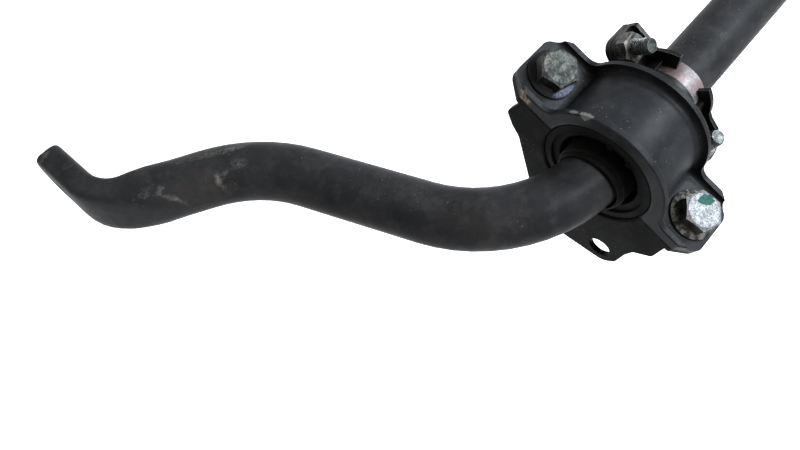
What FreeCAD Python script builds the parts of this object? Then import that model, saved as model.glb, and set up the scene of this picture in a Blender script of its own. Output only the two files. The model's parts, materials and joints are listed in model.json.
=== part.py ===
import FreeCAD, Part
import math
import os

# Front sway bar with its two clamped bushing brackets. Millimetres.
# Frame: X along the torsion axis, Z along the bracket bolts with the heads up, arms towards +Y.
# The origin is the middle of the torsion axis.

# ---- bar ----
BAR_R = 15.0              # radius of the round spring-steel bar
BRACKET_X = 300.0         # distance of each bracket from the middle
ARM_DROP = 27.7           # slope of both arms below the bracket's Y axis, degrees
BEND_START = 16.0         # from the bracket's middle to the start of the first bend
BEND_1 = (72.4, 71.5)     # radius and turn in degrees, towards the arm
ARM_STRAIGHT = 64.3
BEND_2 = (78.2, -39.5)    # turns back outboard
NECK_STRAIGHT = 38.0
BEND_3 = (28.1, 58.0)     # sets the eye square to the torsion axis
EYE_STRAIGHT = 29.2

# ---- flattened eye ----
EYE_WIDTH = 31.0
EYE_THICK = 15.0
EYE_POWER = 5.0           # exponent of the rounded-rectangle section
FLATTEN_START = 81.0      # distances back from the tip
FLATTEN_END = 46.0
TIP_ROUND = 1.4
LINK_HOLE_R = 6.1
LINK_HOLE_INSET = 15.5

# ---- bushing ----
BUSHING_R = 29.0
BUSHING_HALF = 19.0
FACE_RING_INSET = 3.8     # from the outside of the bushing to its raised face ring
FACE_STEP = 1.6
GROOVE_WIDTH = 2.95       # between the sleeve and the outer ring of the face
GROOVE_FLOOR = 8.0        # half length of the web under the grooves
NUB_R = 1.5
NUB_ANGLES = (73.0, 104.0)
SLIT_WIDTH = 0.5
RUN_CLEAR = 0.05          # radial running clearance of the bar in the sleeve
SEAT_CLEAR = 0.05         # radial clearance of seats that are clamped together
SLEEVE_WALL = 3.2
SLEEVE_NOSE = 26.0        # outboard reach of the sleeve from the bracket's middle
SLEEVE_NOSE_WALL = 1.0
SLEEVE_STEP_X = 23.4
SLEEVE_STEP_WALL = 2.2
SLEEVE_BACK = 21.0
NOSE_CLEAR = 1.0          # room for the start of the bend inside the nose

# ---- strap and base stamping ----
SHEET = 3.0
HALF_WIDTH = 19.7
LIP_RISE = 4.35           # of the raised lips above the web
SEAM_Z = 0.6
EAR_LIP_Z = 7.0
LIP_BLEND = 7.0
CROWN_BLEND = 3.3
EAR_PAST_BOLT = 13.55     # from the bolt to the ear's end
EAR_END_HALF = 12.0       # half width of the ear's end
SHOULDER_PAST_BOLT = 3.25  # from the bolt to where the ear starts to narrow
EAR_END_ROUND = 6.0
EAR_SHOULDER_ROUND = 3.0
INNER_EDGE_ROUND = 1.6
LIP_EDGE_ROUND = 0.8      # outer edge of the strap's lips
SKIRT_EDGE_ROUND = 0.6
LIP_ROOT_ROUND = 2.6
BASE_HALF_WIDTH = 20.0
BASE_HOLE = (-35.8, -46.4)
BASE_HOLE_2 = (-1.0, -50.0)
BASE_HOLE_R = 6.0

# ---- clamp bolts ----
BOLT_FROM_WEB = 15.2      # from the outside of the crown to the bolt
BOLT_R = 6.0
BOLT_HOLE_R = 6.6
BOLT_AF = 18.0
FLANGE_R = 12.5
FLANGE_RIM = 1.3
FLANGE_HEIGHT = 3.2
HEAD_HEIGHT = 9.5
NUT_AF = 19.0
NUT_HEIGHT = 10.0
BOLT_PITCH = 1.75
BOLT_PAST_NUT = 4.0
HEX_CHAMFER = 0.12        # width of a hexagon's corner chamfer, as a share of its flats
HEX_TURN = {"rear": 44.0, "front": 38.0}

# ---- stop ring and stop collar ----
RING_WALL = 1.3
RING_X = (21.6, 49.6)
COLLAR_WALL = 2.5
COLLAR_X = (24.0, 37.0)
EAR_X = 27.6              # outboard edge of the ears
COLLAR_FAR_X = 46.0
EAR_PLATE_ROUND = 6.0
COLLAR_GAP = 0.4          # half of the gap between the two halves
LIP_T = 2.2
COLLAR_BOLT_X = 34.6
COLLAR_BOLT_R = 4.0
COLLAR_HOLE_R = 4.3
COLLAR_AF = 13.0
COLLAR_NUT_H = 6.5
STUD_HEAD_R = 6.0         # thin pressed-in head of the stud, under the lower ear
STUD_HEAD_H = 1.2
COLLAR_PITCH = 1.25
# each ear: slope, stud distance, split-plane offset, where the ear turns up, end, thread tip,
# and how far round the shell its raised edge reaches, in degrees from +Y
EARS = {
    "rear": {"slope": 26.8, "bolt": 32.9, "split": -7.2, "knee": 25.0, "end": 39.4, "tip": 11.8,
             "shell": (0, 42), "lip": (10, 66), "lip_r": 24.6},
    "front": {"slope": 4.0, "bolt": 31.0, "split": -9.7, "knee": 21.6, "end": 37.4, "tip": 11.5,
              "shell": (138, 180), "lip": (118, 170), "lip_r": 22.8},
}

STRAP_IN_R = BUSHING_R + SEAT_CLEAR
STRAP_OUT_R = STRAP_IN_R + SHEET
LIP_R = STRAP_OUT_R + LIP_RISE
BOLT_Y = STRAP_OUT_R + BOLT_FROM_WEB
EAR_END_Y = BOLT_Y + EAR_PAST_BOLT
EAR_SHOULDER_Y = BOLT_Y + SHOULDER_PAST_BOLT
FACE_RING_R = BUSHING_R - FACE_RING_INSET
SLEEVE_IN_R = BAR_R + RUN_CLEAR
SLEEVE_R = SLEEVE_IN_R + SLEEVE_WALL
GROOVE_R = SLEEVE_R + GROOVE_WIDTH
RING_R = BAR_R + RING_WALL
COLLAR_IN_R = RING_R + SEAT_CLEAR
COLLAR_OUT_R = COLLAR_IN_R + COLLAR_WALL
HEAD_Z = SEAM_Z + SHEET
NUT_TOP_Z = SEAM_Z - SHEET
X_AXIS = FreeCAD.Vector(1, 0, 0)
Z_AXIS = FreeCAD.Vector(0, 0, 1)
ORIGIN = FreeCAD.Vector(0, 0, 0)


def vec(x, y, z):
    return FreeCAD.Vector(x, y, z)


def cylinder_x(radius, x0, x1, y=0.0, z=0.0):
    return Part.makeCylinder(radius, x1 - x0, vec(x0, y, z), X_AXIS)


def ring_x(r_in, r_out, x0, x1):
    return cylinder_x(r_out, x0, x1).cut(cylinder_x(r_in, x0 - 1, x1 + 1))


def rounded_wire(points, place):
    """Closed outline from (a, b, corner radius) points; place(a, b) gives the 3-D point."""
    count = len(points)
    starts, arcs = [], []
    for i in range(count):
        a, b, radius = points[i]
        before = points[i - 1]
        after = points[(i + 1) % count]
        here = vec(a, b, 0)
        to_before = (vec(before[0], before[1], 0) - here).normalize()
        to_after = (vec(after[0], after[1], 0) - here).normalize()
        if radius <= 0:
            starts.append((here, here))
            arcs.append(None)
            continue
        half = to_before.getAngle(to_after) / 2
        run = radius / math.tan(half)
        middle = (to_before + to_after).normalize()
        bulge = here + middle * (radius / math.sin(half) - radius)
        starts.append((here + to_before * run, here + to_after * run))
        arcs.append(bulge)
    edges = []
    for i in range(count):
        enter, leave = starts[i]
        if arcs[i] is not None:
            ends = [place(p.x, p.y) for p in (enter, arcs[i], leave)]
            edges.append(Part.Arc(*ends).toShape())
        following = starts[(i + 1) % count][0]
        if leave.distanceToPoint(following) > 1e-6:
            edges.append(Part.makeLine(place(leave.x, leave.y), place(following.x, following.y)))
    return Part.Wire(edges)


def plate_x(points, x0, x1):
    """Plate of a rounded (y, z) outline between two stations along X."""
    wire = rounded_wire(points, lambda a, b: vec(x0, a, b))
    return Part.Face(wire).extrude(vec(x1 - x0, 0, 0))


def turned_x(points, start=0.0, turn=360.0):
    """Solid turned about X from a rounded (x, r) outline."""
    wire = rounded_wire(points, lambda a, b: vec(a, b, 0))
    face = Part.Face(wire)
    if start:
        face.rotate(ORIGIN, X_AXIS, start)
    return face.revolve(ORIGIN, X_AXIS, turn)


def turned_z(points):
    """Solid turned about Z from a rounded (r, z) outline."""
    wire = rounded_wire(points, lambda a, b: vec(a, 0, b))
    return Part.Face(wire).revolve(ORIGIN, Z_AXIS, 360)


def hex_prism(across_flats, z0, z1, turn):
    radius = across_flats / math.sqrt(3)
    corners = []
    for k in range(7):
        angle = math.radians(turn + 60 * k)
        corners.append(vec(radius * math.cos(angle), radius * math.sin(angle), z0))
    return Part.Face(Part.makePolygon(corners)).extrude(vec(0, 0, z1 - z0))


def thread(radius, pitch, z_low, z_high):
    """Ridged rod: a turned row of thread crests with a plain chamfered tip at z_low."""
    root = radius - 0.55 * pitch
    points = [(0, z_high, 0), (radius, z_high, 0)]
    crests = int((z_high - z_low - pitch) / pitch)
    for k in range(crests):
        top = z_high - k * pitch
        points.append((radius, top - 0.2 * pitch, 0))
        points.append((root, top - 0.5 * pitch, 0))
        points.append((radius, top - 0.8 * pitch, 0))
    last = z_high - crests * pitch
    points.append((radius, last, 0))
    points.append((root, z_low, 0))
    points.append((0, z_low, 0))
    return turned_z(points)


def mirrored(shape):
    return shape.mirror(ORIGIN, X_AXIS)


# ---- sway bar ----
def arm_stations():
    """Segments of the left arm in its own plane: kind, start (x, y), heading, length or bend."""
    x, y, heading = -(BRACKET_X + BEND_START), 0.0, 0.0
    segments = []
    runs = [BEND_1, ARM_STRAIGHT, BEND_2, NECK_STRAIGHT, BEND_3, EYE_STRAIGHT]
    for run in runs:
        direction = vec(-math.cos(heading), math.sin(heading), 0)
        normal = vec(math.sin(heading), math.cos(heading), 0)
        start = vec(x, y, 0)
        if isinstance(run, tuple):
            radius, turn = run
            sign = 1 if turn > 0 else -1
            centre = start + normal * (sign * radius)
            angle = math.radians(turn)
            length = radius * abs(angle)
            heading_end = heading + angle
            end_normal = vec(math.sin(heading_end), math.cos(heading_end), 0)
            end = centre - end_normal * (sign * radius)
            segments.append({"start": start, "heading": heading, "length": length,
                             "centre": centre, "radius": radius, "sign": sign})
            heading = heading_end
        else:
            end = start + direction * run
            segments.append({"start": start, "heading": heading, "length": run})
        x, y = end.x, end.y
    return segments


def arm_point(segments, back):
    """Point, heading and normal of the arm's centreline at a distance back from the tip."""
    total = sum(s["length"] for s in segments)
    along = total - back
    for segment in segments:
        if along <= segment["length"] + 1e-9 or segment is segments[-1]:
            break
        along -= segment["length"]
    heading = segment["heading"]
    if "centre" in segment:
        heading += segment["sign"] * along / segment["radius"]
        normal = vec(math.sin(heading), math.cos(heading), 0)
        point = segment["centre"] - normal * (segment["sign"] * segment["radius"])
    else:
        point = segment["start"] + vec(-math.cos(heading), math.sin(heading), 0) * along
    return point, heading


def eye_section(segments, back, shrink=0.0):
    point, heading = arm_point(segments, back)
    normal = vec(math.sin(heading), math.cos(heading), 0)
    share = (FLATTEN_START - back) / (FLATTEN_START - FLATTEN_END)
    share = min(1.0, max(0.0, share))
    share = share * share * (3 - 2 * share)
    half_width = BAR_R + share * (EYE_WIDTH / 2 - BAR_R) - shrink
    half_thick = BAR_R + share * (EYE_THICK / 2 - BAR_R) - shrink
    power = 2 / (2 + share * (EYE_POWER - 2))
    if share == 0:
        circle = Part.Circle(point, vec(-math.cos(heading), math.sin(heading), 0), BAR_R)
        circle.XAxis = Z_AXIS
        return Part.Wire(circle.toShape())
    points = []
    count = 40
    for k in range(count):
        angle = 2 * math.pi * k / count
        c, s = math.cos(angle), math.sin(angle)
        wide = half_width * math.copysign(abs(c) ** power, c)
        thick = half_thick * math.copysign(abs(s) ** power, s)
        points.append(point + Z_AXIS * wide - normal * thick)
    curve = Part.BSplineCurve()
    curve.interpolate(points, PeriodicFlag=True)
    return Part.Wire(curve.toShape())


def round_arm(segments):
    """The round stretch of the left arm, from the torsion section to the start of the eye."""
    total = sum(s["length"] for s in segments)
    left = total - FLATTEN_START
    pieces = []
    for segment in segments:
        length = min(left, segment["length"])
        if length <= 0:
            break
        heading = segment["heading"]
        direction = vec(-math.cos(heading), math.sin(heading), 0)
        circle = Part.Circle(segment["start"], direction, BAR_R)
        face = Part.Face(Part.Wire(circle.toShape()))
        if "centre" in segment:
            turn = math.degrees(length / segment["radius"])
            axis = Z_AXIS * (-segment["sign"])
            pieces.append(face.revolve(segment["centre"], axis, turn))
        else:
            pieces.append(face.extrude(direction * length))
        left -= length
    return pieces


def flattened_eye(segments):
    """The forged end: a blend from the round bar, the rest of the last bend, and the straight eye."""
    count = 8
    step = (FLATTEN_START - FLATTEN_END) / count
    stations = [FLATTEN_START - step * k for k in range(count + 1)]
    blend = Part.makeLoft([eye_section(segments, back) for back in stations], True, False)
    bend = segments[-2]
    in_bend = Part.Face(eye_section(segments, FLATTEN_END))
    turn = math.degrees((FLATTEN_END - EYE_STRAIGHT) / bend["radius"])
    curved = in_bend.revolve(bend["centre"], Z_AXIS * (-bend["sign"]), turn)
    _, heading = arm_point(segments, 0)
    direction = vec(-math.cos(heading), math.sin(heading), 0)
    flat = Part.Face(eye_section(segments, EYE_STRAIGHT)).extrude(direction * (EYE_STRAIGHT - TIP_ROUND))
    tip_sections = [eye_section(segments, TIP_ROUND), eye_section(segments, 0.0, TIP_ROUND * 0.7)]
    tip = Part.makeLoft(tip_sections, True, True)
    eye = blend.multiFuse([curved, flat, tip])
    point, heading = arm_point(segments, LINK_HOLE_INSET)
    hole = Part.makeCylinder(LINK_HOLE_R, 4 * EYE_THICK, point - X_AXIS * (2 * EYE_THICK), X_AXIS)
    return eye.cut(hole)


def sway_bar():
    segments = arm_stations()
    straight = BRACKET_X + BEND_START
    arm = round_arm(segments) + [flattened_eye(segments)]
    for piece in arm:
        piece.rotate(ORIGIN, X_AXIS, -ARM_DROP)
    pieces = arm + [mirrored(p) for p in arm]
    return cylinder_x(BAR_R, -straight, straight).multiFuse(pieces)


# ---- bushing and sleeve, in the left bracket's own frame ----
def bushing():
    face = BUSHING_HALF
    step = BUSHING_HALF - FACE_STEP
    outline = [(-face, BUSHING_R, 0.8), (face, BUSHING_R, 0.8), (face, FACE_RING_R, 0.5),
               (step, FACE_RING_R, 0), (step, GROOVE_R, 0.6), (GROOVE_FLOOR, GROOVE_R, 1.0),
               (GROOVE_FLOOR, SLEEVE_R + SEAT_CLEAR, 0), (-GROOVE_FLOOR, SLEEVE_R + SEAT_CLEAR, 0),
               (-GROOVE_FLOOR, GROOVE_R, 1.0), (-step, GROOVE_R, 0.6), (-step, FACE_RING_R, 0),
               (-face, FACE_RING_R, 0.5)]
    body = turned_x(outline)
    nubs = []
    for angle in NUB_ANGLES:
        y = GROOVE_R * math.cos(math.radians(angle))
        z = GROOVE_R * math.sin(math.radians(angle))
        nubs.append(cylinder_x(NUB_R, -step - 0.2, step + 0.2, y, z))
    body = body.multiFuse(nubs)
    slit = Part.makeBox(4 * BUSHING_HALF, SLIT_WIDTH, 2 * BUSHING_R)
    slit.translate(vec(-2 * BUSHING_HALF, -SLIT_WIDTH / 2, -2 * BUSHING_R))
    return body.cut(slit)


def bushing_sleeve():
    nose_in = BAR_R + NOSE_CLEAR
    outline = [(SLEEVE_BACK, SLEEVE_IN_R, 0), (SLEEVE_BACK, SLEEVE_R, 0.6),
               (-SLEEVE_STEP_X, SLEEVE_IN_R + SLEEVE_WALL, 0.9),
               (-SLEEVE_STEP_X, BAR_R + SLEEVE_STEP_WALL, 0.3),
               (-SLEEVE_NOSE, BAR_R + SLEEVE_STEP_WALL, 0.8), (-SLEEVE_NOSE, nose_in, 0.3),
               (-BEND_START, nose_in, 0), (-BEND_START + NOSE_CLEAR, SLEEVE_IN_R, 0)]
    body = turned_x(outline)
    slit = Part.makeBox(4 * SLEEVE_NOSE, SLIT_WIDTH, 2 * SLEEVE_R)
    slit.translate(vec(-2 * SLEEVE_NOSE, -SLIT_WIDTH / 2, -2 * SLEEVE_R))
    return body.cut(slit)


# ---- strap ----
def bolt_hole(y, radius, z0, z1):
    return Part.makeCylinder(radius, z1 - z0, vec(0, y, z0), Z_AXIS)


def bell_outline(radius, top, end, blend):
    """Half ring of a radius standing on a flat band: the (y, z) outer outline of the strap."""
    reach = radius + blend
    height = top + blend
    corner_y = math.sqrt(reach * reach - height * height)
    touch = radius / reach
    left = vec(0, corner_y * touch, height * touch)
    foot = vec(0, corner_y, top)
    corner = vec(0, corner_y, height)
    inward = (left + foot) * 0.5 - corner
    middle = corner + inward.normalize() * blend
    right = [vec(0, -p.y, p.z) for p in (left, middle, foot)]
    edges = [Part.makeLine(vec(0, end, SEAM_Z), vec(0, end, top)),
             Part.makeLine(vec(0, end, top), foot),
             Part.Arc(foot, middle, left).toShape(),
             Part.Arc(left, vec(0, 0, radius), right[0]).toShape(),
             Part.Arc(right[0], right[1], right[2]).toShape(),
             Part.makeLine(right[2], vec(0, -end, top)),
             Part.makeLine(vec(0, -end, top), vec(0, -end, SEAM_Z)),
             Part.makeLine(vec(0, -end, SEAM_Z), vec(0, end, SEAM_Z))]
    return Part.Wire(edges)


def plate_from(wire, x0, x1):
    moved = wire.copy()
    moved.translate(vec(x0, 0, 0))
    return Part.Face(moved).extrude(vec(x1 - x0, 0, 0))


def ear_plan(half_width, z0, z1):
    """Plan outline of both ears, narrowed past their shoulders, as a tall prism that trims the sheet."""
    shoulder = (half_width, EAR_SHOULDER_Y, EAR_SHOULDER_ROUND)
    end = (EAR_END_HALF, EAR_END_Y, EAR_END_ROUND)
    points = []
    for x_sign, y_sign, order in ((1, 1, (shoulder, end)), (-1, 1, (end, shoulder)),
                                  (-1, -1, (shoulder, end)), (1, -1, (end, shoulder))):
        points += [(x_sign * x, y_sign * y, radius) for x, y, radius in order]
    wire = rounded_wire(points, lambda a, b: vec(a, b, z0))
    return Part.Face(wire).extrude(vec(0, 0, z1 - z0))


def strap():
    block = plate_from(bell_outline(LIP_R, EAR_LIP_Z, EAR_END_Y, LIP_BLEND), -HALF_WIDTH, HALF_WIDTH)
    web = plate_from(bell_outline(STRAP_OUT_R, SEAM_Z + SHEET, EAR_END_Y + 1, CROWN_BLEND),
                     -HALF_WIDTH - 1, HALF_WIDTH + 1)
    channel_half = HALF_WIDTH - SHEET
    tall = Part.makeBox(2 * channel_half, 4 * EAR_END_Y, 2 * LIP_R)
    tall.translate(vec(-channel_half, -2 * EAR_END_Y, SEAM_Z - 0.001))
    channel = tall.cut(web)
    roots = [e for e in channel.Edges if on_channel_root(e, channel_half)]
    channel = channel.makeFillet(LIP_ROOT_ROUND, roots)
    body = block.cut(channel)
    body = body.cut(cylinder_x(STRAP_IN_R, -2 * HALF_WIDTH, 2 * HALF_WIDTH))
    body = body.common(ear_plan(HALF_WIDTH, SEAM_Z, 2 * LIP_R))
    for y in (BOLT_Y, -BOLT_Y):
        body = body.cut(bolt_hole(y, BOLT_HOLE_R, -10, 30))
    mouth = mouth_cutter(STRAP_IN_R, HALF_WIDTH, INNER_EDGE_ROUND)
    body = body.cut(mouth).cut(mirrored(mouth))
    edges = face_edges(body, HALF_WIDTH, STRAP_OUT_R, SEAM_Z + 0.5, 2 * LIP_R)
    return body.makeFillet(LIP_EDGE_ROUND, edges)


def face_edges(body, x, radius, z_low, z_high):
    """Edges lying in the planes at +-x, further than a radius from the axis, between two heights."""
    edges = []
    for edge in body.Edges:
        box = edge.BoundBox
        middle = edge.valueAt((edge.FirstParameter + edge.LastParameter) / 2)
        flat = box.XLength < 1e-3 and abs(abs(box.Center.x) - x) < 1e-3
        if flat and math.hypot(middle.y, middle.z) > radius and z_low < middle.z < z_high:
            edges.append(edge)
    return edges


def on_channel_root(edge, channel_half):
    """Edges of the channel cutter that run along the web's outer surface, next to a lip."""
    box = edge.BoundBox
    flat = box.XLength < 1e-6 and abs(abs(box.Center.x) - channel_half) < 1e-3
    return flat and box.ZMin > SEAM_Z + 0.5 and box.ZMax < STRAP_OUT_R + 0.5


def mouth_cutter(radius, x, rounding):
    """Ring that rounds the inner edge of a round mouth at x."""
    share = math.sqrt(0.5)
    start = vec(x - rounding, radius, 0)
    middle = vec(x - rounding * (1 - share), radius + rounding * (1 - share), 0)
    end = vec(x, radius + rounding, 0)
    outside = [end, end + vec(1, 0, 0), vec(x + 1, radius - 1, 0), start - vec(0, 1, 0), start]
    edges = [Part.Arc(start, middle, end).toShape()]
    edges += [Part.makeLine(a, b) for a, b in zip(outside, outside[1:])]
    return Part.Face(Part.Wire(edges)).revolve(ORIGIN, X_AXIS, 360)


# ---- base stamping ----
def skirt_points():
    """Side wall outline (y, z, corner radius): two shoulders above, and the foot below."""
    rear = [(1.25, SEAM_Z, 2.0), (3.25, -14.8, 4.0), (-3.65, -20.8, 6.0), (-9.75, -24.0, 12.0)]
    front = [(-1.85, -26.0, 6.0), (3.95, -16.4, 3.5), (1.25, SEAM_Z, 2.0)]
    foot = [(14.2, -50.5, 10.0), (-2.0, -68.5, 12.0), (-21.3, -64.6, 20.0), (-43.8, -54.8, 9.0),
            (-47.2, -46.5, 8.0), (-45.2, -33.5, 12.0)]
    points = [(BOLT_Y + out, z, radius) for out, z, radius in rear]
    points += foot
    points += [(-BOLT_Y - out, z, radius) for out, z, radius in front]
    return points


def base_bracket():
    skirts = plate_x(skirt_points(), -BASE_HALF_WIDTH, BASE_HALF_WIDTH)
    inner_half = BASE_HALF_WIDTH - SHEET
    hollow = Part.makeBox(2 * inner_half, 4 * EAR_END_Y, 4 * EAR_END_Y)
    hollow.translate(vec(-inner_half, -2 * EAR_END_Y, SEAM_Z - SHEET - 4 * EAR_END_Y))
    hollow = hollow.cut(cylinder_x(STRAP_OUT_R, -BASE_HALF_WIDTH, BASE_HALF_WIDTH))
    ears = ear_plan(BASE_HALF_WIDTH, SEAM_Z - SHEET, SEAM_Z)
    body = skirts.cut(hollow).fuse(ears)
    body = body.cut(cylinder_x(STRAP_IN_R, -2 * BASE_HALF_WIDTH, 2 * BASE_HALF_WIDTH))
    mouth = mouth_cutter(STRAP_IN_R, BASE_HALF_WIDTH, INNER_EDGE_ROUND)
    body = body.cut(mouth).cut(mirrored(mouth))
    for y in (BOLT_Y, -BOLT_Y):
        body = body.cut(bolt_hole(y, BOLT_HOLE_R, -10, 30))
    for y, z in (BASE_HOLE, BASE_HOLE_2):
        body = body.cut(cylinder_x(BASE_HOLE_R, -2 * BASE_HALF_WIDTH, 2 * BASE_HALF_WIDTH, y, z))
    body = body.removeSplitter()
    edges = face_edges(body, BASE_HALF_WIDTH, STRAP_OUT_R, -2 * EAR_END_Y, -SHEET)
    return body.makeFillet(SKIRT_EDGE_ROUND, edges)


# ---- bracket fasteners ----
def chamfered_hex(across_flats, z0, z1, turn, top_only):
    body = hex_prism(across_flats, z0, z1, turn)
    corner = across_flats / math.sqrt(3)
    edge = HEX_CHAMFER * across_flats
    foot = [(corner, z0, 0)] if top_only else [(corner - edge, z0, 0), (corner, z0 + edge * 0.5, 0)]
    crown = [(corner, z1 - edge * 0.5, 0), (corner - edge, z1, 0)]
    return body.common(turned_z([(0, z0, 0)] + foot + crown + [(0, z1, 0)]))


def clamp_bolt(turn):
    """Flanged hex bolt, seat at z = 0, thread pointing down."""
    flange = turned_z([(0, 0, 0), (FLANGE_R, 0, 0.3), (FLANGE_R, FLANGE_RIM, 0.5),
                       (BOLT_AF / 2 + 0.6, FLANGE_HEIGHT, 0.6), (0, FLANGE_HEIGHT, 0)])
    head = chamfered_hex(BOLT_AF, 0.5, HEAD_HEIGHT, turn, True)
    plain = NUT_TOP_Z - HEAD_Z
    tip = plain - NUT_HEIGHT - BOLT_PAST_NUT
    shank = Part.makeCylinder(BOLT_R, 0.2 - plain, vec(0, 0, plain), Z_AXIS)
    rod = thread(BOLT_R, BOLT_PITCH, tip, plain)
    return flange.fuse(head).fuse(shank).fuse(rod)


def weld_nut():
    body = chamfered_hex(NUT_AF, -NUT_HEIGHT, 0, 30, False)
    bore = Part.makeCylinder(BOLT_R + SEAT_CLEAR, 2 * NUT_HEIGHT, vec(0, 0, -1.5 * NUT_HEIGHT), Z_AXIS)
    return body.cut(bore)


# ---- stop ring and collar ----
def stop_ring():
    x0, x1 = RING_X
    return turned_x([(x0, BAR_R, 0), (x0, RING_R, 0.4), (x1, RING_R, 0.4), (x1, BAR_R, 0)])


def ear_frame(side):
    """Outward and thread directions of a collar ear in the (y, z) plane."""
    slope = math.radians(EARS[side]["slope"])
    hand = 1 if side == "rear" else -1
    outward = vec(0, hand * math.cos(slope), math.sin(slope))
    upward = vec(0, -hand * math.sin(slope), math.cos(slope))
    return outward, upward


def ear_point(side, out, up):
    outward, upward = ear_frame(side)
    return outward * out + upward * up


def ear_strip(side, low, high):
    """One ear's sheet: leaves the shell on the split plane, then turns up along the slope."""
    ear = EARS[side]
    hand = 1 if side == "rear" else -1
    knee = ear_point(side, ear["knee"], ear["split"])
    end = ear_point(side, ear["end"], ear["split"])
    start = vec(0, hand * (COLLAR_IN_R + COLLAR_OUT_R) / 2, 0)
    inner = knee - start
    inner_up = vec(0, -inner.z * hand, inner.y * hand).normalize()
    _, upward = ear_frame(side)
    bisector = (inner_up + upward).normalize()
    stretch = 1 / bisector.dot(upward)
    corners = []
    for offset in (low, high):
        bend = knee + bisector * (offset * stretch)
        corners.append([start + inner_up * offset, bend, end + upward * offset])
    loop = corners[0] + corners[1][::-1] + [corners[0][0]]
    wire = Part.makePolygon([p + X_AXIS * EAR_X for p in loop])
    sheet = Part.Face(wire).extrude(X_AXIS * (COLLAR_FAR_X - EAR_X))
    below = ear_point(side, ear["bolt"], ear["split"] - 20) + X_AXIS * COLLAR_BOLT_X
    hole = Part.makeCylinder(COLLAR_HOLE_R, 40, below, upward)
    return sheet.cut(hole).common(ear_trim(side))


def ear_trim(side):
    """Prism along the stud that rounds the free outboard corner of an ear."""
    ear = EARS[side]
    outward, upward = ear_frame(side)
    base = upward * (ear["split"] - 20)
    far = COLLAR_FAR_X + 1
    points = [(EAR_X, 0, 0), (EAR_X, ear["end"], EAR_PLATE_ROUND), (far, ear["end"], 0), (far, 0, 0)]
    wire = rounded_wire(points, lambda a, b: base + X_AXIS * a + outward * b)
    return Part.Face(wire).extrude(upward * 40)


def half_space(upper):
    """Everything above, or below, the split surface of the collar, with the gap taken off."""
    rear_knee = ear_point("rear", EARS["rear"]["knee"], EARS["rear"]["split"])
    rear_end = ear_point("rear", EARS["rear"]["end"] + 20, EARS["rear"]["split"])
    front_knee = ear_point("front", EARS["front"]["knee"], EARS["front"]["split"])
    front_end = ear_point("front", EARS["front"]["end"] + 20, EARS["front"]["split"])
    mid = (COLLAR_IN_R + COLLAR_OUT_R) / 2
    line = [rear_end, rear_knee, vec(0, mid, 0), vec(0, -mid, 0), front_knee, front_end]
    shift = COLLAR_GAP if upper else -COLLAR_GAP
    far = 90 if upper else -90
    line = [p + vec(0, 0, shift) for p in line]
    loop = line + [vec(0, line[-1].y, far), vec(0, line[0].y, far), line[0]]
    wire = Part.makePolygon([p + X_AXIS * (COLLAR_X[0] - 5) for p in loop])
    return Part.Face(wire).extrude(X_AXIS * (COLLAR_FAR_X - COLLAR_X[0] + 10))


def sector(r_in, r_out, x0, x1, start, end):
    """Part of a ring between two angles from +Y."""
    return turned_x([(x0, r_in, 0), (x0, r_out, 0), (x1, r_out, 0), (x1, r_in, 0)], start, end - start)


def far_lips():
    """Raised edge on the inboard side of each ear, joined to the shell under it."""
    x0 = COLLAR_FAR_X - LIP_T
    outlines = [[(37.9, 9.6, 0), (37.4, 13.4, 1.5), (35.9, 16.8, 1.5), (26.4, 15.7, 3.0), (20.6, 14.2, 3.0),
                 (14.0, 18.0, 0), (14.0, 2.0, 0), (26.5, 3.0, 0)],
                [(-36.5, -6.9, 0), (-35.6, -1.0, 1.5), (-30.0, 4.8, 3.0), (-23.4, 7.2, 3.0), (-19.8, 10.0, 2.0),
                 (-14.0, 17.0, 0), (-14.0, -1.0, 0), (-24.0, -7.0, 0)]]
    lips = [plate_x(points, x0, COLLAR_FAR_X) for points in outlines]
    for ear in EARS.values():
        lips.append(sector(COLLAR_IN_R, ear["lip_r"], x0, COLLAR_FAR_X, *ear["lip"]))
    return lips


def collar_half(upper):
    x0, x1 = COLLAR_X
    low, high = (0, COLLAR_WALL + COLLAR_GAP) if upper else (-COLLAR_WALL - COLLAR_GAP, 0)
    shell = ring_x(COLLAR_IN_R, COLLAR_OUT_R, x0, x1)
    pieces = [ear_strip(side, low, high) for side in EARS]
    if upper:
        for ear in EARS.values():
            pieces.append(sector(COLLAR_IN_R, COLLAR_OUT_R, x0, COLLAR_FAR_X, *ear["shell"]))
        pieces += far_lips()
    body = shell.multiFuse(pieces)
    body = body.cut(cylinder_x(COLLAR_IN_R, 0, 2 * COLLAR_FAR_X))
    return body.common(half_space(upper))


def collar_place(shape, side, up):
    """Carries a fastener modelled along Z to an ear's bolt axis, at a height along the thread."""
    _, upward = ear_frame(side)
    shape.rotate(ORIGIN, X_AXIS, math.degrees(math.atan2(-upward.y, upward.z)))
    shape.translate(ear_point(side, EARS[side]["bolt"], up) + X_AXIS * COLLAR_BOLT_X)
    return shape


def collar_stud(side):
    """Stud pressed into the lower ear from below, with a thin round head."""
    seat = EARS[side]["split"] - COLLAR_GAP - COLLAR_WALL
    length = EARS[side]["tip"] - seat
    head = turned_z([(0, -STUD_HEAD_H, 0), (STUD_HEAD_R, -STUD_HEAD_H, 0.4), (STUD_HEAD_R, 0, 0), (0, 0, 0)])
    rod = thread(COLLAR_BOLT_R, COLLAR_PITCH, -length, -0.2)
    rod.rotate(ORIGIN, X_AXIS, 180)
    stub = Part.makeCylinder(COLLAR_BOLT_R, 1.0, vec(0, 0, -0.5), Z_AXIS)
    return collar_place(head.fuse(stub).fuse(rod), side, seat)


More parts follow.
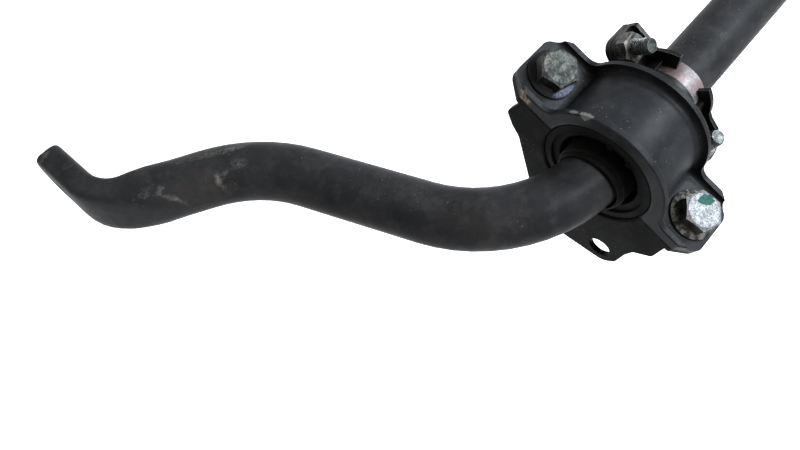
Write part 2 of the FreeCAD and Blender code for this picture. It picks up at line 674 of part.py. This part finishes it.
def collar_nut(side):
    base = EARS[side]["split"] + COLLAR_GAP + COLLAR_WALL
    body = chamfered_hex(COLLAR_AF, 0, COLLAR_NUT_H, 8, False)
    bore = Part.makeCylinder(COLLAR_BOLT_R + SEAT_CLEAR, 3 * COLLAR_NUT_H, vec(0, 0, -COLLAR_NUT_H), Z_AXIS)
    return collar_place(body.cut(bore), side, base)


def bracket_nodes():
    """Every piece of one bracket, around the bracket's own middle, outboard towards -X."""
    nodes = {"strap": strap(), "base_bracket": base_bracket(), "bushing": bushing(),
             "bushing_sleeve": bushing_sleeve(), "stop_ring": stop_ring(),
             "collar_upper": collar_half(True), "collar_lower": collar_half(False)}
    for side, y in (("rear", BOLT_Y), ("front", -BOLT_Y)):
        for name, shape, z in (("bolt", clamp_bolt(HEX_TURN[side]), HEAD_Z),
                               ("weld_nut", weld_nut(), NUT_TOP_Z)):
            shape.translate(vec(0, y, z))
            nodes[name + "_" + side] = shape
        nodes["collar_stud_" + side] = collar_stud(side)
        nodes["collar_nut_" + side] = collar_nut(side)
    return nodes


def main():
    os.makedirs("parts", exist_ok=True)
    parts = {"sway_bar": sway_bar()}
    for name, shape in bracket_nodes().items():
        shape.translate(vec(-BRACKET_X, 0, 0))
        parts["left_" + name] = shape
        parts["right_" + name] = mirrored(shape)
    for name, shape in sorted(parts.items()):
        box = shape.BoundBox
        print(name, len(shape.Solids), "valid", shape.isValid(), "volume", round(shape.Volume, 1),
              "x", round(box.XMin, 1), round(box.XMax, 1), "y", round(box.YMin, 1), round(box.YMax, 1),
              "z", round(box.ZMin, 1), round(box.ZMax, 1))
        shape.exportStep("parts/" + name + ".step")


main()
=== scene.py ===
import json
import math

import bpy
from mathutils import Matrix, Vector


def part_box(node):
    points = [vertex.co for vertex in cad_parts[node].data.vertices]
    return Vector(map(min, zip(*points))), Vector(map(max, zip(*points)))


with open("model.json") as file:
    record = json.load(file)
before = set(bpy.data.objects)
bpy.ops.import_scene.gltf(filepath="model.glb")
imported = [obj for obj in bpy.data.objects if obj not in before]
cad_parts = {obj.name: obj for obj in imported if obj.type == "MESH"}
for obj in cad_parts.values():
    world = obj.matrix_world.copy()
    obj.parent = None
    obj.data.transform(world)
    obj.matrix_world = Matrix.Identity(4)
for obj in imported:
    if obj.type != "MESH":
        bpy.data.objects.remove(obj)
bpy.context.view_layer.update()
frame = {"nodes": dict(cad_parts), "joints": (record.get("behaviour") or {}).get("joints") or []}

# Sway bar with two clamped bushing brackets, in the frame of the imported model: X along the
# torsion axis, Z along the bracket bolts with the heads up, the arms towards +Y and down.
# Marks are placed in millimetres on the left side, and the right side mirrors them.
NODES = frame["nodes"]
JOINTS = {joint["name"]: joint for joint in frame["joints"]}
LEFT = Vector(JOINTS["bar_swing"]["pos_m"])      # middle of the left bracket
MM = 0.001
SIDES = (1, -1)                                  # left, right
WHITE = (1, 1, 1, 1)


def on_side(place, side):
    """A left-side place in millimetres, as metres on the given side."""
    return (side * place[0] * MM, place[1] * MM, place[2] * MM)


def in_metres(lengths):
    return tuple(length * MM for length in lengths)


# ---- camera: above and outboard of the left bracket, looking down along its bolts ----
CAMERA_FROM_BRACKET = (-0.20469, 0.05038, 0.29281)
CAMERA_TURN = (13.232, -13.267, -46.814)         # degrees
LENS_MM = 32.108
SENSOR_MM = 36.0
CLIP = (0.01, 30.0)


def make_camera():
    data = bpy.data.cameras.new("camera")
    data.lens = LENS_MM
    data.sensor_width = SENSOR_MM
    data.clip_start, data.clip_end = CLIP
    camera = bpy.data.objects.new("camera", data)
    camera.location = LEFT + Vector(CAMERA_FROM_BRACKET)
    camera.rotation_euler = [math.radians(angle) for angle in CAMERA_TURN]
    bpy.context.scene.collection.objects.link(camera)
    bpy.context.scene.camera = camera


# ---- floor, light and background ----
FLOOR_Z = -0.42
FLOOR_HALF = 30.0
FLOOR_TONE = 0.85
FLOOR_ROUGHNESS = 0.95
FLOOR_GLOW = 0.62
KEY_FROM = (0.16, -0.22, 1.0)    # direction that the soft key light comes from
KEY_STRENGTH = 1.3
KEY_ANGLE = 24.0                 # degrees across: the larger, the softer
STRIPS = {                       # place and power of two soft boxes that make the highlights
    "near_strip": ((0.26, -0.28, 0.95), 9.0),
    "far_strip": ((0.74, -0.14, 0.80), 14.0),
}
STRIP_SIZE = (0.32, 0.22)
STRIP_COLOUR = (0.84, 0.92, 1.0)
WORLD_GLOW = 0.18


def make_floor():
    half = FLOOR_HALF
    mesh = bpy.data.meshes.new("floor")
    corners = [(-half, -half), (half, -half), (half, half), (-half, half)]
    mesh.from_pydata([(x, y, FLOOR_Z) for x, y in corners], [], [(0, 1, 2, 3)])
    floor = bpy.data.objects.new("floor", mesh)
    bpy.context.scene.collection.objects.link(floor)
    material = bpy.data.materials.new("floor_pale")
    material.use_nodes = True
    shader = material.node_tree.nodes["Principled BSDF"]
    shader.inputs["Base Color"].default_value = (FLOOR_TONE, FLOOR_TONE, FLOOR_TONE, 1)
    shader.inputs["Roughness"].default_value = FLOOR_ROUGHNESS
    shader.inputs["Specular IOR Level"].default_value = 0.0
    shader.inputs["Emission Color"].default_value = WHITE
    shader.inputs["Emission Strength"].default_value = FLOOR_GLOW
    mesh.materials.append(material)


def add_light(name, kind, towards, strength):
    """Light on the given side of the left bracket, aimed at it."""
    data = bpy.data.lights.new(name, kind)
    data.energy = strength
    light = bpy.data.objects.new(name, data)
    light.location = LEFT + Vector(towards)
    light.rotation_euler = Vector(towards).to_track_quat("Z", "Y").to_euler()
    bpy.context.scene.collection.objects.link(light)
    return data


def make_light():
    world = bpy.data.worlds.new("studio")
    bpy.context.scene.world = world
    world.use_nodes = True
    background = world.node_tree.nodes["Background"]
    background.inputs["Color"].default_value = WHITE
    background.inputs["Strength"].default_value = WORLD_GLOW
    key = add_light("key", "SUN", KEY_FROM, KEY_STRENGTH)
    key.angle = math.radians(KEY_ANGLE)
    for name, (towards, power) in STRIPS.items():
        strip = add_light(name, "AREA", towards, power)
        strip.shape = "RECTANGLE"
        strip.size, strip.size_y = STRIP_SIZE
        strip.color = STRIP_COLOUR
    bpy.context.scene.view_settings.view_transform = "Standard"


# ---- material building ----
EDGE_SAMPLES = 6
EDGE_AGREEMENT = (0.97, 0.80)    # of the rounded and the true normal: open surface, full edge


class Surface:
    """Short calls for the nodes of one material; places are in the model's frame, in metres."""

    def __init__(self, name):
        self.material = bpy.data.materials.new(name)
        self.material.use_nodes = True
        self.tree = self.material.node_tree
        self.shader = self.tree.nodes["Principled BSDF"]
        source = self.tree.nodes.new("ShaderNodeTexCoord")
        self.coords = source.outputs["Object"]
        self.normal = source.outputs["Normal"]

    def put(self, value, socket):
        if isinstance(value, bpy.types.NodeSocket):
            self.tree.links.new(value, socket)
        elif isinstance(value, tuple):
            socket.default_value = (*value, 1) if len(socket.default_value) == 4 else value
        else:
            socket.default_value = value

    def noise(self, scale, detail=4.0, rough=0.55):
        """Noise with the given number of features per metre."""
        node = self.tree.nodes.new("ShaderNodeTexNoise")
        self.put(self.coords, node.inputs["Vector"])
        self.put(scale, node.inputs["Scale"])
        self.put(detail, node.inputs["Detail"])
        self.put(rough, node.inputs["Roughness"])
        return node.outputs["Fac"]

    def cells(self, scale):
        node = self.tree.nodes.new("ShaderNodeTexVoronoi")
        self.put(self.coords, node.inputs["Vector"])
        self.put(scale, node.inputs["Scale"])
        return node.outputs["Distance"]

    def ramp(self, value, low, high, low_value=0.0, high_value=1.0):
        """Straight ramp from low_value at low to high_value at high, held outside."""
        node = self.tree.nodes.new("ShaderNodeMapRange")
        self.put(value, node.inputs["Value"])
        self.put(low, node.inputs["From Min"])
        self.put(high, node.inputs["From Max"])
        self.put(low_value, node.inputs["To Min"])
        self.put(high_value, node.inputs["To Max"])
        return node.outputs["Result"]

    def mix(self, share, first, second):
        node = self.tree.nodes.new("ShaderNodeMix")
        node.data_type = "RGBA"
        self.put(share, node.inputs[0])
        self.put(first, node.inputs[6])
        self.put(second, node.inputs[7])
        return node.outputs[2]

    def math(self, operation, first, second):
        node = self.tree.nodes.new("ShaderNodeMath")
        node.operation = operation
        node.use_clamp = operation == "ADD"
        self.put(first, node.inputs[0])
        self.put(second, node.inputs[1])
        return node.outputs[0]

    def blob(self, place, size, turn=(0, 0, 0)):
        """1 at a place, fading to 0 at size away along turned axes."""
        reach = size if isinstance(size, tuple) else (size, size, size)
        mapping = self.tree.nodes.new("ShaderNodeMapping")
        mapping.vector_type = "TEXTURE"
        self.put(self.coords, mapping.inputs["Vector"])
        self.put(place, mapping.inputs["Location"])
        self.put(reach, mapping.inputs["Scale"])
        self.put(turn, mapping.inputs["Rotation"])
        node = self.tree.nodes.new("ShaderNodeTexGradient")
        node.gradient_type = "SPHERICAL"
        self.put(mapping.outputs["Vector"], node.inputs["Vector"])
        return node.outputs["Fac"]

    def up_facing(self, low, high):
        node = self.tree.nodes.new("ShaderNodeSeparateXYZ")
        self.put(self.normal, node.inputs["Vector"])
        return self.ramp(node.outputs["Z"], low, high)

    def edges(self, radius):
        """1 on convex and concave edges, 0 on open surface."""
        bevel = self.tree.nodes.new("ShaderNodeBevel")
        bevel.samples = EDGE_SAMPLES
        self.put(radius, bevel.inputs["Radius"])
        geometry = self.tree.nodes.new("ShaderNodeNewGeometry")
        dot = self.tree.nodes.new("ShaderNodeVectorMath")
        dot.operation = "DOT_PRODUCT"
        self.put(bevel.outputs["Normal"], dot.inputs[0])
        self.put(geometry.outputs["Normal"], dot.inputs[1])
        return self.ramp(dot.outputs["Value"], *EDGE_AGREEMENT)

    def bump(self, height, strength, distance, under=None):
        node = self.tree.nodes.new("ShaderNodeBump")
        self.put(strength, node.inputs["Strength"])
        self.put(distance, node.inputs["Distance"])
        self.put(height, node.inputs["Height"])
        if under is not None:
            self.put(under, node.inputs["Normal"])
        return node.outputs["Normal"]

    def finish(self, colour, roughness, normal, metallic, specular):
        self.put(colour, self.shader.inputs["Base Color"])
        self.put(roughness, self.shader.inputs["Roughness"])
        self.put(metallic, self.shader.inputs["Metallic"])
        self.put(specular, self.shader.inputs["Specular IOR Level"])
        self.put(normal, self.shader.inputs["Normal"])
        return self.material


# ---- black dip coat ----
COAT_TONES = {                   # dark, light, dust
    "bar_coat": ((0.017, 0.017, 0.018), (0.032, 0.032, 0.033), (0.056, 0.054, 0.051)),
    "strap_coat": ((0.013, 0.013, 0.014), (0.024, 0.025, 0.027), (0.042, 0.043, 0.044)),
    "base_coat": ((0.004, 0.004, 0.004), (0.010, 0.010, 0.010), (0.026, 0.023, 0.020)),
    "collar_coat": ((0.005, 0.005, 0.005), (0.012, 0.012, 0.011), (0.035, 0.032, 0.028)),
}
COAT_GLOSS = {"bar_coat": 0.035, "strap_coat": 0.06, "base_coat": 0.015, "collar_coat": 0.16}
COAT_ROUGHNESS = (0.36, 0.50)
SPECK = (0.20, 0.19, 0.17)
FAINT_WEAR = ((0.13, 0.125, 0.115), 0.5)         # tone of worn edges and how strongly it shows
STRONG_WEAR = ((0.34, 0.33, 0.30), 0.9)
SCUFF_AND_SHEEN_GRAIN = 430.0              # noise scales that break a mark up, from fine to coarse
PATCH_GRAIN = 90.0
COARSE_GRAIN = 45.0


class BlackCoat(Surface):
    """Satin black dip coat on steel: cloudy tone, faint orange peel, dust, specks and worn edges."""

    def __init__(self, name, edge_wear=FAINT_WEAR):
        super().__init__(name)
        dark, light, dust = COAT_TONES[name]
        self.gloss = COAT_GLOSS[name]
        cloud = self.ramp(self.noise(35.0, 6.0, 0.6), 0.35, 0.70)
        self.colour = self.mix(cloud, dark, light)
        grime = self.math("MULTIPLY", self.ramp(self.noise(110.0, 8.0, 0.7), 0.48, 0.75), 0.6)
        self.paint(grime, dust)
        speck = self.math("MULTIPLY", self.ramp(self.cells(420.0), 0.14, 0.04),
                          self.ramp(self.noise(60.0, 2.0), 0.52, 0.60))
        self.paint(self.math("MULTIPLY", speck, 0.7), SPECK)
        wear, wear_share = edge_wear
        broken = self.ramp(self.noise(160.0, 6.0, 0.7), 0.42, 0.62)
        worn = self.math("MULTIPLY", self.math("MULTIPLY", self.edges(0.6 * MM), broken), wear_share)
        self.paint(worn, wear)
        self.roughness = self.ramp(self.noise(50.0, 5.0, 0.6), 0.30, 0.75, *COAT_ROUGHNESS)
        peel = self.bump(self.noise(900.0, 3.0, 0.5), 0.14, 0.2 * MM)
        self.relief = self.bump(self.noise(120.0, 3.0, 0.5), 0.10, 0.6 * MM, peel)

    def paint(self, mask, colour):
        self.colour = self.mix(mask, self.colour, colour)

    def mark(self, place, reach, turn, colour, strength, grain=SCUFF_AND_SHEEN_GRAIN):
        """Patch of colour round a place in millimetres, broken up by noise; the far side mirrors it.
        It draws rubs, painted sheen and a pale patch.
        """
        broken = self.ramp(self.noise(grain, 8.0, 0.8), 0.44, 0.62)
        for side in SIDES:
            angles = (0, 0, math.radians(side * turn))
            near = self.ramp(self.blob(on_side(place, side), in_metres(reach), angles), 0.0, 0.8)
            self.paint(self.math("MULTIPLY", self.math("MULTIPLY", near, broken), strength), colour)

    def done(self):
        return self.finish(self.colour, self.roughness, self.relief, 0.0, self.gloss)


# ---- the bar: scuffed arm with a painted reflection along its upper edge, scratches, worn tip, painted brown sheen on the arm and the bend ----
# lighter rubbed colour: scratches and tip wear, partly a painted reflection along the arm's upper edge
SCUFF_AND_SHEEN = (0.150, 0.137, 0.120)
# painted brown sheen: lighter brown patches on the arm and at the bend
BROWN_SHEEN = (0.044, 0.032, 0.026)
BROWN_SHEEN_MARKS = [                  # place, reach, turn about Z, strength, noise scale
    ((-447, 134, -58), (26, 14, 14), -40, 0.6, PATCH_GRAIN),
    ((-376.6, 26.3, 1.6), (34, 14, 14), -50, 0.5, COARSE_GRAIN),
]
# marks along the arm's upper edge are partly a painted reflection; the others are scratches and tip
# wear
ARM_SCUFFS_AND_SHEEN = [                    # place, reach, turn about Z, strength
    ((-436.9, 127.6, -54.9), (5, 2.2, 5), 60, 0.9),
    ((-433.4, 127.1, -53.3), (5, 1.8, 5), 10, 0.9),
    ((-425.6, 125.6, -50.2), (6, 3.0, 6), -30, 0.6),
    ((-437.4, 123.7, -56.3), (4, 1.6, 4), 80, 0.8),
    ((-459.7, 143.6, -61.1), (4, 2.2, 4), 20, 0.9),
    ((-466.0, 147.2, -62.4), (5, 2.5, 5), 0, 0.7),
    ((-456.5, 134.2, -62.7), (1.6, 7, 5), 20, 0.7),
    ((-458.9, 137.7, -62.3), (7, 1.4, 5), -60, 0.6),
    ((-432.4, 141.5, -57.7), (26, 2.4, 8), -32, 0.55),
    ((-421.7, 134.5, -54.3), (14, 2.4, 6), -28, 0.9),
    ((-486.1, 202.6, -88.8), (6, 2.0, 6), 20, 0.9),
    ((-490.1, 200.1, -91.7), (2, 7, 4), 0, 0.7),
]


def bar_material():
    coat = BlackCoat("bar_coat")
    for place, reach, turn, strength, grain in BROWN_SHEEN_MARKS:
        coat.mark(place, reach, turn, BROWN_SHEEN, strength, grain)
    for place, reach, turn, strength in ARM_SCUFFS_AND_SHEEN:
        coat.mark(place, reach, turn, SCUFF_AND_SHEEN, strength)
    return coat.done()


# ---- strap: chips on the outboard rim, dirt on the side of the rear ear ----
RIM_CHIPS = [                    # place, reach
    ((-318.7, 24.6, 26.9), (2.2, 5.2, 4.4)),
    ((-318.4, 29.4, 22.0), (1.3, 4.2, 3.4)),
]
CHIP_METAL = (0.15, 0.146, 0.132)
EAR_DIRT = [                     # place, reach
    ((-319.3, 50.5, 4.2), 3.2),
    ((-319.5, 47.0, 3.6), 2.6),
]
DRY_DIRT = (0.36, 0.27, 0.17)


def strap_material():
    coat = BlackCoat("strap_coat")
    for place, reach in RIM_CHIPS:
        for side in SIDES:
            chip = coat.blob(on_side(place, side), in_metres(reach))
            ragged = coat.ramp(coat.noise(700.0, 5.0, 0.7), 0.3, 0.7, -0.26, 0.26)
            coat.paint(coat.ramp(coat.math("ADD", chip, ragged), 0.28, 0.36), CHIP_METAL)
    for place, reach in EAR_DIRT:
        for side in SIDES:
            dirt = coat.ramp(coat.blob(on_side(place, side), reach * MM), 0.05, 0.4)
            grain = coat.ramp(coat.noise(700.0, 6.0, 0.7), 0.40, 0.56)
            coat.paint(coat.math("MULTIPLY", dirt, grain), DRY_DIRT)
    return coat.done()


# ---- base and collar ----
# pale brownish patch low on the skirt wall
SKIRT_PALE_PATCH = (0.040, 0.034, 0.026)
SKIRT_PALE_PATCH_AT = (-320.0, -15.0, -55.0)
SKIRT_PALE_PATCH_REACH = (6, 22, 14)


def base_material():
    coat = BlackCoat("base_coat")
    coat.mark(SKIRT_PALE_PATCH_AT, SKIRT_PALE_PATCH_REACH, 0, SKIRT_PALE_PATCH, 0.7, PATCH_GRAIN)
    return coat.done()


def collar_material():
    return BlackCoat("collar_coat", STRONG_WEAR).done()


# ---- rubber ----
RUBBER_TONES = {                 # dark, light
    "bushing_rubber": ((0.003, 0.003, 0.003), (0.007, 0.007, 0.007)),
    "sleeve_rubber": ((0.003, 0.003, 0.003), (0.008, 0.008, 0.007)),
}
RUBBER_DUST = (0.020, 0.018, 0.016)
RUBBER_ROUGHNESS = (0.60, 0.85)
RUBBER_GLOSS = 0.06


def rubber_material(name):
    skin = Surface(name)
    tone = skin.mix(skin.noise(90.0, 5.0), *RUBBER_TONES[name])
    dusty = skin.ramp(skin.noise(45.0, 6.0, 0.7), 0.50, 0.75, 0.0, 0.45)
    tone = skin.mix(dusty, tone, RUBBER_DUST)
    relief = skin.bump(skin.noise(700.0, 4.0), 0.25, 0.3 * MM)
    roughness = skin.ramp(skin.noise(60.0), 0.3, 0.7, *RUBBER_ROUGHNESS)
    return skin.finish(tone, roughness, relief, 0.0, RUBBER_GLOSS)


# ---- bolts: weathered plating, darker on the sides and the flange; the dark sides are painted shade, and the rear flange has painted shade with a painted glint ----
TOP_BAND = (-1.6, -1.0)          # heights in millimetres from the bolt's highest point
FLANGE_BAND = (-6.0, -6.6)
BOLT_ROUGHNESS = (0.42, 0.70)
BOLT_METALLIC = 0.35
BOLT_GLOSS = 0.25


class BoltSkin(Surface):
    def __init__(self, node, side, dark, light, fleck, crust_scale):
        super().__init__(node + "_skin")
        low, high = (Vector(corner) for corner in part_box(node))
        self.side = side
        self.top = high.z
        self.middle = (low + high) / 2
        patch = self.ramp(self.noise(crust_scale, 5.0, 0.65), 0.42, 0.60)
        pits = self.ramp(self.noise(1300.0, 4.0, 0.75), 0.50, 0.58)
        crust = self.mix(patch, dark, light)
        self.top_colour = self.mix(self.math("MULTIPLY", pits, 0.75), crust, fleck)
        self.on_top = self.math("MULTIPLY", self.up_facing(0.75, 0.95), self.height(*TOP_BAND))

    def height(self, low, high):
        """0 at the height low and 1 at high, in millimetres from the bolt's highest point."""
        split = self.tree.nodes.new("ShaderNodeSeparateXYZ")
        self.put(self.coords, split.inputs["Vector"])
        return self.ramp(split.outputs["Z"], self.top + low * MM, self.top + high * MM)

    def spot(self, place, reach, turn):
        """Blob round a place in millimetres from the bolt's axis and its highest point."""
        x, y, z = on_side(place, self.side)
        middle = (self.middle.x + x, self.middle.y + y, self.top + z)
        return self.blob(middle, in_metres(reach), (0, 0, math.radians(self.side * turn)))

    # sides painted darker as shade, mixed by noise with lighter dirt
    def shaded_dirty_sides(self, shaded, dirty):
        return self.mix(self.ramp(self.noise(200.0, 6.0, 0.7), 0.40, 0.65), shaded, dirty)

    def assemble(self, shaded_side_colour, flange_colour, worn):
        flange = self.math("MULTIPLY", self.up_facing(0.5, 0.8), self.height(*FLANGE_BAND))
        tone = self.mix(flange, shaded_side_colour, flange_colour)
        tone = self.mix(self.on_top, tone, self.top_colour)
        broken = self.ramp(self.noise(500.0, 5.0, 0.7), 0.36, 0.60)
        edge = self.math("MULTIPLY", self.math("MULTIPLY", self.edges(0.5 * MM), broken), 0.7)
        tone = self.mix(edge, tone, worn)
        relief = self.bump(self.noise(1200.0, 5.0, 0.7), 0.5, 0.3 * MM)
        roughness = self.ramp(self.noise(400.0, 4.0), 0.3, 0.7, *BOLT_ROUGHNESS)
        return self.finish(tone, roughness, relief, BOLT_METALLIC, BOLT_GLOSS)


REAR_TOP = ((0.012, 0.020, 0.019), (0.105, 0.105, 0.090), (0.006, 0.007, 0.007))  # dark, light, fleck
# painted shade on the sides, then lighter dirt
REAR_SHADED_SIDES = ((0.012, 0.012, 0.011), (0.050, 0.048, 0.042))                       # clean, dirty
# rear flange: painted shade, with a painted glint where the flange catches the light
REAR_FLANGE_SHADE_AND_GLINT = ((0.012, 0.012, 0.013), (0.15, 0.165, 0.23))                        # dark, shine
REAR_WORN = (0.30, 0.30, 0.27)
# painted glint on the rear flange
PAINTED_GLINT = ((-3.0, -9.6, -7.2), (8.5, 2.6, 3.0), -14)                                # place, reach, turn


def rear_bolt_material(name, side):
    skin = BoltSkin(name, side, *REAR_TOP, 330.0)
    broken = skin.ramp(skin.noise(900.0, 5.0, 0.7), 0.38, 0.55)
    painted_glint = skin.math("MULTIPLY", skin.ramp(skin.spot(*PAINTED_GLINT), 0.05, 0.5), broken)
    return skin.assemble(skin.shaded_dirty_sides(*REAR_SHADED_SIDES), skin.mix(painted_glint, *REAR_FLANGE_SHADE_AND_GLINT), REAR_WORN)


FRONT_TOP = ((0.21, 0.215, 0.225), (0.37, 0.38, 0.39), (0.02, 0.022, 0.027))      # dark, light, fleck
# painted shade on the sides, then lighter dirt
FRONT_SHADED_SIDES = ((0.014, 0.014, 0.013), (0.075, 0.072, 0.060))                      # clean, dirty
FRONT_FLANGE = ((0.022, 0.020, 0.018), (0.21, 0.20, 0.18))                        # dark, light
FRONT_WORN = (0.42, 0.41, 0.36)
TEAL = ((0.004, 0.028, 0.022), (0.010, 0.070, 0.054))
DAB = ((5.0, 2.4, 0.0), (6.0, 3.6, 4.0), -35)                                     # place, reach, turn


def front_bolt_material(name, side):
    skin = BoltSkin(name, side, *FRONT_TOP, 300.0)
    ragged = skin.ramp(skin.noise(600.0, 3.0), 0.3, 0.7, -0.16, 0.16)
    dab = skin.ramp(skin.math("ADD", skin.spot(*DAB), ragged), 0.22, 0.32)
    teal = skin.mix(skin.noise(500.0, 4.0), *TEAL)
    skin.top_colour = skin.mix(dab, skin.top_colour, teal)
    patch = skin.ramp(skin.noise(420.0, 6.0, 0.7), 0.44, 0.60)
    return skin.assemble(skin.shaded_dirty_sides(*FRONT_SHADED_SIDES), skin.mix(patch, *FRONT_FLANGE), FRONT_WORN)


# ---- other metal ----
RING_TONES = ((0.11, 0.096, 0.097), (0.27, 0.258, 0.262))                         # dark, light
RING_STAIN = (0.20, 0.13, 0.12)
RING_RUST = (0.085, 0.055, 0.050)
RING_RUST_AT = (-256.5, 9.0, 13.5)
RING_RUST_REACH = 9.0
HARDWARE = {                     # dark, light, worn edge, metallic
    "nut_dirty": ((0.012, 0.012, 0.010), (0.14, 0.13, 0.11), (0.55, 0.54, 0.50), 0.3),
    "stud_plated": ((0.014, 0.015, 0.014), (0.12, 0.13, 0.125), (0.55, 0.60, 0.58), 0.5),
    "weld_nut_plated": ((0.06, 0.06, 0.055), (0.22, 0.21, 0.19), (0.40, 0.39, 0.35), 0.6),
}
METAL_GLOSS = 0.4


def ring_material():
    skin = Surface("ring_bare")
    tone = skin.mix(skin.ramp(skin.noise(500.0, 6.0, 0.7), 0.35, 0.65), *RING_TONES)
    stain = skin.ramp(skin.noise(120.0, 6.0, 0.7), 0.46, 0.62)
    tone = skin.mix(skin.math("MULTIPLY", stain, 0.8), tone, RING_STAIN)
    for side in SIDES:
        rust = skin.ramp(skin.blob(on_side(RING_RUST_AT, side), RING_RUST_REACH * MM), 0.05, 0.55)
        tone = skin.mix(skin.math("MULTIPLY", rust, 0.85), tone, RING_RUST)
    relief = skin.bump(skin.noise(900.0, 4.0), 0.3, 0.2 * MM)
    roughness = skin.ramp(skin.noise(90.0, 5.0), 0.3, 0.7, 0.45, 0.7)
    return skin.finish(tone, roughness, relief, 0.35, METAL_GLOSS)


def hardware_material(name):
    dark, light, worn, metallic = HARDWARE[name]
    skin = Surface(name)
    tone = skin.mix(skin.ramp(skin.noise(260.0, 7.0, 0.7), 0.42, 0.66), dark, light)
    broken = skin.ramp(skin.noise(420.0, 5.0, 0.7), 0.36, 0.58)
    tone = skin.mix(skin.math("MULTIPLY", skin.edges(0.45 * MM), broken), tone, worn)
    relief = skin.bump(skin.noise(900.0, 5.0, 0.7), 0.5, 0.3 * MM)
    roughness = skin.ramp(skin.noise(300.0, 5.0), 0.3, 0.7, 0.3, 0.6)
    return skin.finish(tone, roughness, relief, metallic, METAL_GLOSS)


# ---- which piece wears what; every bolt has a material of its own ----
WORN_BY = {
    "sway_bar": "bar_coat",
    "strap": "strap_coat",
    "base_bracket": "base_coat",
    "collar_upper": "collar_coat",
    "collar_lower": "collar_coat",
    "bushing": "bushing_rubber",
    "bushing_sleeve": "sleeve_rubber",
    "stop_ring": "ring_bare",
    "collar_nut_front": "nut_dirty",
    "collar_nut_rear": "nut_dirty",
    "collar_stud_front": "stud_plated",
    "collar_stud_rear": "stud_plated",
    "weld_nut_front": "weld_nut_plated",
    "weld_nut_rear": "weld_nut_plated",
}


def paint_nodes():
    shared = {"bar_coat": bar_material(), "strap_coat": strap_material(), "base_coat": base_material(),
              "collar_coat": collar_material(), "ring_bare": ring_material()}
    shared.update({name: rubber_material(name) for name in RUBBER_TONES})
    shared.update({name: hardware_material(name) for name in HARDWARE})
    for name, node in NODES.items():
        side = -1 if name.startswith("right_") else 1
        piece = name.replace("left_", "").replace("right_", "")
        if piece == "bolt_rear":
            material = rear_bolt_material(name, side)
        elif piece == "bolt_front":
            material = front_bolt_material(name, side)
        else:
            material = shared[WORN_BY[piece]]
        node.data.materials.clear()
        node.data.materials.append(material)


make_camera()
make_floor()
make_light()
paint_nodes()
